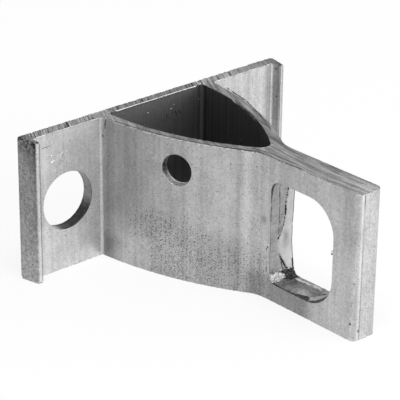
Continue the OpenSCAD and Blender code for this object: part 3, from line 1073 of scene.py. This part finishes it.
def punchedFinish(name, dark, light, lower=0.0):
    g = Graph(name)
    drawn = g.noise(g.stretched(0.25, 1, 1), 1.0, 4, 0.6)
    cloud = g.noise(g.place(), 0.35, 3)
    grain = g.noise(g.place(), 2.4, 2, 0.7)
    bright = (0.3 * drawn + 0.4 * cloud + 0.3 * grain).between(0.36, 0.64)
    level = (dark + (light - dark) * bright) * (1 + lower * g.place().part(2).between(-2, -7))
    return g.finish(g.tone(level), 0.36 + 0.1 * drawn, drawn, 0.04)


def tornFinish(name, dark, light, depth, gloss=0.0):
    g = Graph(name)
    facets = g.noise(g.place(), 1.1, 4, 0.7)
    grit = g.noise(g.place(), 4.4, 3, 0.7)
    bright = (0.6 * facets + 0.4 * grit).between(0.38, 0.62)
    colour = g.blend(bright, grey(dark), grey(light))
    return g.finish(colour, 0.5 - gloss - 0.12 * bright, 0.6 * facets + 0.4 * grit, depth)


def boltWallFinish():  # painted light where it faces up on one side, dark next to that
    g = Graph("boltWall")
    place = g.place()
    x, z = place.part(0), place.part(2)
    drawn = g.noise(g.stretched(1, 0.2, 1), 1.4, 4, 0.7)
    grain = g.noise(place, 2.4, 2, 0.7)
    bright = (0.5 * drawn + 0.5 * grain).between(0.36, 0.64)
    pale = x.between(-37, -39) * z.between(-4, -6)
    dark = x.between(-39, -36.5) * z.between(-1, -5)
    level = (0.13 + 0.17 * bright) * (1 + 1.3 * pale - 0.5 * dark)
    return g.finish(g.tone(level), 0.4 + 0.1 * drawn, drawn, 0.05)


def snappedFinish():  # smooth and pale, with one soft cloud
    g = Graph("snapped")
    place = g.place()
    away = g.length((place - (1.9, -58.5, -4.0)) * (0.55, 0.1, 0.26))
    soft = g.noise(place, 0.5, 2, 0.5)
    grit = g.noise(place, 2.6, 3, 0.8)
    bright = (0.5 * soft + 0.5 * grit).between(0.3, 0.7)
    level = (0.5 + 0.12 * bright) * (0.64 + 0.36 * (away + 0.7 * soft).between(0.5, 1.4))
    return g.finish(g.tone(level), 0.46, grit, 0.02)


def drilledFinish(name, dark, light):
    g = Graph(name)
    turned = g.noise(g.stretched(1, 1, 0.4), 2.6, 3, 0.6)
    colour = g.blend(turned.between(0.38, 0.62), grey(dark), grey(light))
    return g.finish(colour, 0.4 + 0.1 * turned, turned, 0.03)


materials = {
    "skin": skinFinish(),
    "hollow": hollowFinish(),
    "burrEdge": burrFinish(),
    "sawnEnd": sawnFinish(),
    "punched": punchedFinish("punched", 0.26, 0.42, 0.18),
    "boltWall": boltWallFinish(),
    # painted shade on punched metal: most of the window's lower wall, and along the rolled edge of
    # the wall by the webs
    "pressed": punchedFinish("pressed", 0.18, 0.38),
    "punchedShade": punchedFinish("punchedShade", 0.24, 0.38),
    "ledgeStrip": punchedFinish("ledgeStrip", 0.3, 0.6),
    "snapped": snappedFinish(),
    "torn": tornFinish("torn", 0.34, 0.8, 0.14),
    # near-black for cracks, dents and marks, and also for painted shadow on the window's lower
    # wall, along its rolled edge and under two burr blobs
    "tornDark": tornFinish("tornDark", 0.02, 0.12, 0.3),
    "smear": tornFinish("smear", 0.3, 0.85, 0.25),
    "drilled": drilledFinish("drilled", 0.2, 0.6),
    "drilledEdge": drilledFinish("drilledEdge", 0.5, 0.95),
    "dent": tornFinish("dent", 0.1, 0.36, 0.12),
    "burr": tornFinish("burr", 0.75, 0.98, 0.05, gloss=0.12),
    "scratch": tornFinish("scratch", 0.85, 0.98, 0.02, gloss=0.2),
    # dark marks, and painted shadow lines at the lips' front inner edges
    "markAndShadowLine": tornFinish("markAndShadowLine", 0.24, 0.4, 0.02),
}
threadFinishes = ["burr", "tornDark", "scratch", "markAndShadowLine"]
finishes = [name for name in materials if name not in ("scratch", "markAndShadowLine")]
print("materials made")

bracket = makeBracket()
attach(bracket, "root")
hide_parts("bracket_body")
threads = makeThreads()
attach(threads, "root")


# Studio: pale floor, soft lamps, and the camera where the photographer stood

studio = {
    "floorSize": 14, "floorColour": 0.8, "floorSeen": 0.98, "floorGlow": 0.8,
    "worldBack": 0.35, "worldFront": 1.02, "zenith": 0.45,
    "key": {"from": (0.6, -1.45, 0.66), "size": (1.8, 1.24), "power": 13},
    "top": {"from": (-0.5, -0.5, 2.2), "size": (1.0, 1.0), "power": 24},
}
view = {"azimuth": -41.96, "elevation": 24.62, "roll": 0.631, "distance": 617.1, "lens": 177.9,
        "target": (14.24, -7.55, -13.37)}


def makeFloor():
    mesh = bmesh.new()
    bmesh.ops.create_grid(mesh, x_segments=1, y_segments=1, size=studio["floorSize"] / 2 / mm)
    for vert in mesh.verts:
        vert.co.z = low.z
    floor = objectFrom(mesh, "floor")
    g = Graph("paper")
    seen = (g.add("LightPath", {}, {}, "Is Camera Ray")
            + g.add("LightPath", {}, {}, "Is Glossy Ray")
            + g.add("LightPath", {}, {}, "Is Transmission Ray"))
    colour = g.blend(seen, grey(studio["floorColour"]), grey(studio["floorSeen"]))
    paper = g.add("BsdfDiffuse", {}, {"Color": colour})
    glow = g.add("Emission", {}, {"Color": grey(1), "Strength": 1.0})
    bow, bowRound = hollowBow(), section["webInnerRound"]
    place = g.place()
    x, y = place.part(0).size(), place.part(1)
    fromBow = g.length(g.add("CombineXYZ", {}, {0: x - bow.x, 1: y - bow.y, 2: 0.0}))
    # the floor's glow is left out under the hollow, a painted shadow there, so that only the
    # paper's own lit shading shows
    inHollow = fromBow.between(bowRound + 1.2, bowRound - 1) * y.between(-2, -4)
    share = seen * (1 - inHollow) * studio["floorGlow"]
    g.add("OutputMaterial", {}, {"Surface": g.add("MixShader", {}, {0: share, 1: paper, 2: glow})})
    floor.data.materials.append(g.material)


def makeLamp(name, settings):
    data = bpy.data.lights.new(name, "AREA")
    data.shape = "RECTANGLE"
    data.size, data.size_y = settings["size"]
    data.energy = settings["power"]
    lamp = bpy.data.objects.new(name, data)
    lamp.location = settings["from"]
    lamp.rotation_euler = Vector(settings["from"]).to_track_quat("Z", "Y").to_euler()
    bpy.context.scene.collection.objects.link(lamp)


def makeWorld():
    world = bpy.data.worlds.new("studio")
    bpy.context.scene.world = world
    world.use_nodes = True
    g = Graph("studio", world.node_tree)
    way = g.add("TexCoord", {}, {}, "Generated")
    front = (way.part(0) * 0.67 - way.part(1) * 0.74).between(-0.8, 0.8)
    level = studio["worldBack"] + (studio["worldFront"] - studio["worldBack"]) * front
    level = level * (1 - (1 - studio["zenith"]) * way.part(2).between(0.3, 0.95))
    level = level + (studio["worldFront"] - level) * way.part(2).size().between(0.2, 0.1)
    tone = g.add("CombineXYZ", {}, {0: level, 1: level, 2: level})
    light = g.add("Background", {}, {"Color": tone, "Strength": 1.0})
    g.add("OutputWorld", {}, {"Surface": light})


def makeCamera():
    azimuth, elevation = math.radians(view["azimuth"]), math.radians(view["elevation"])
    flat = math.cos(elevation)
    back = Vector((math.sin(azimuth) * flat, -math.cos(azimuth) * flat, math.sin(elevation)))
    data = bpy.data.cameras.new("camera")
    data.lens = view["lens"]
    data.sensor_width = 36
    data.dof.use_dof = False
    data.clip_start = 0.01
    camera = bpy.data.objects.new("camera", data)
    camera.location = (Vector(view["target"]) + back * view["distance"]) * mm
    turned = back.to_track_quat("Z", "Y").to_euler()
    turned.rotate_axis("Z", math.radians(view["roll"]))
    camera.rotation_euler = turned
    bpy.context.scene.collection.objects.link(camera)
    bpy.context.scene.camera = camera


makeFloor()
makeLamp("key", studio["key"])
makeLamp("top", studio["top"])
makeWorld()
makeCamera()
bpy.context.scene.view_settings.view_transform = "Standard"
print("studio made")
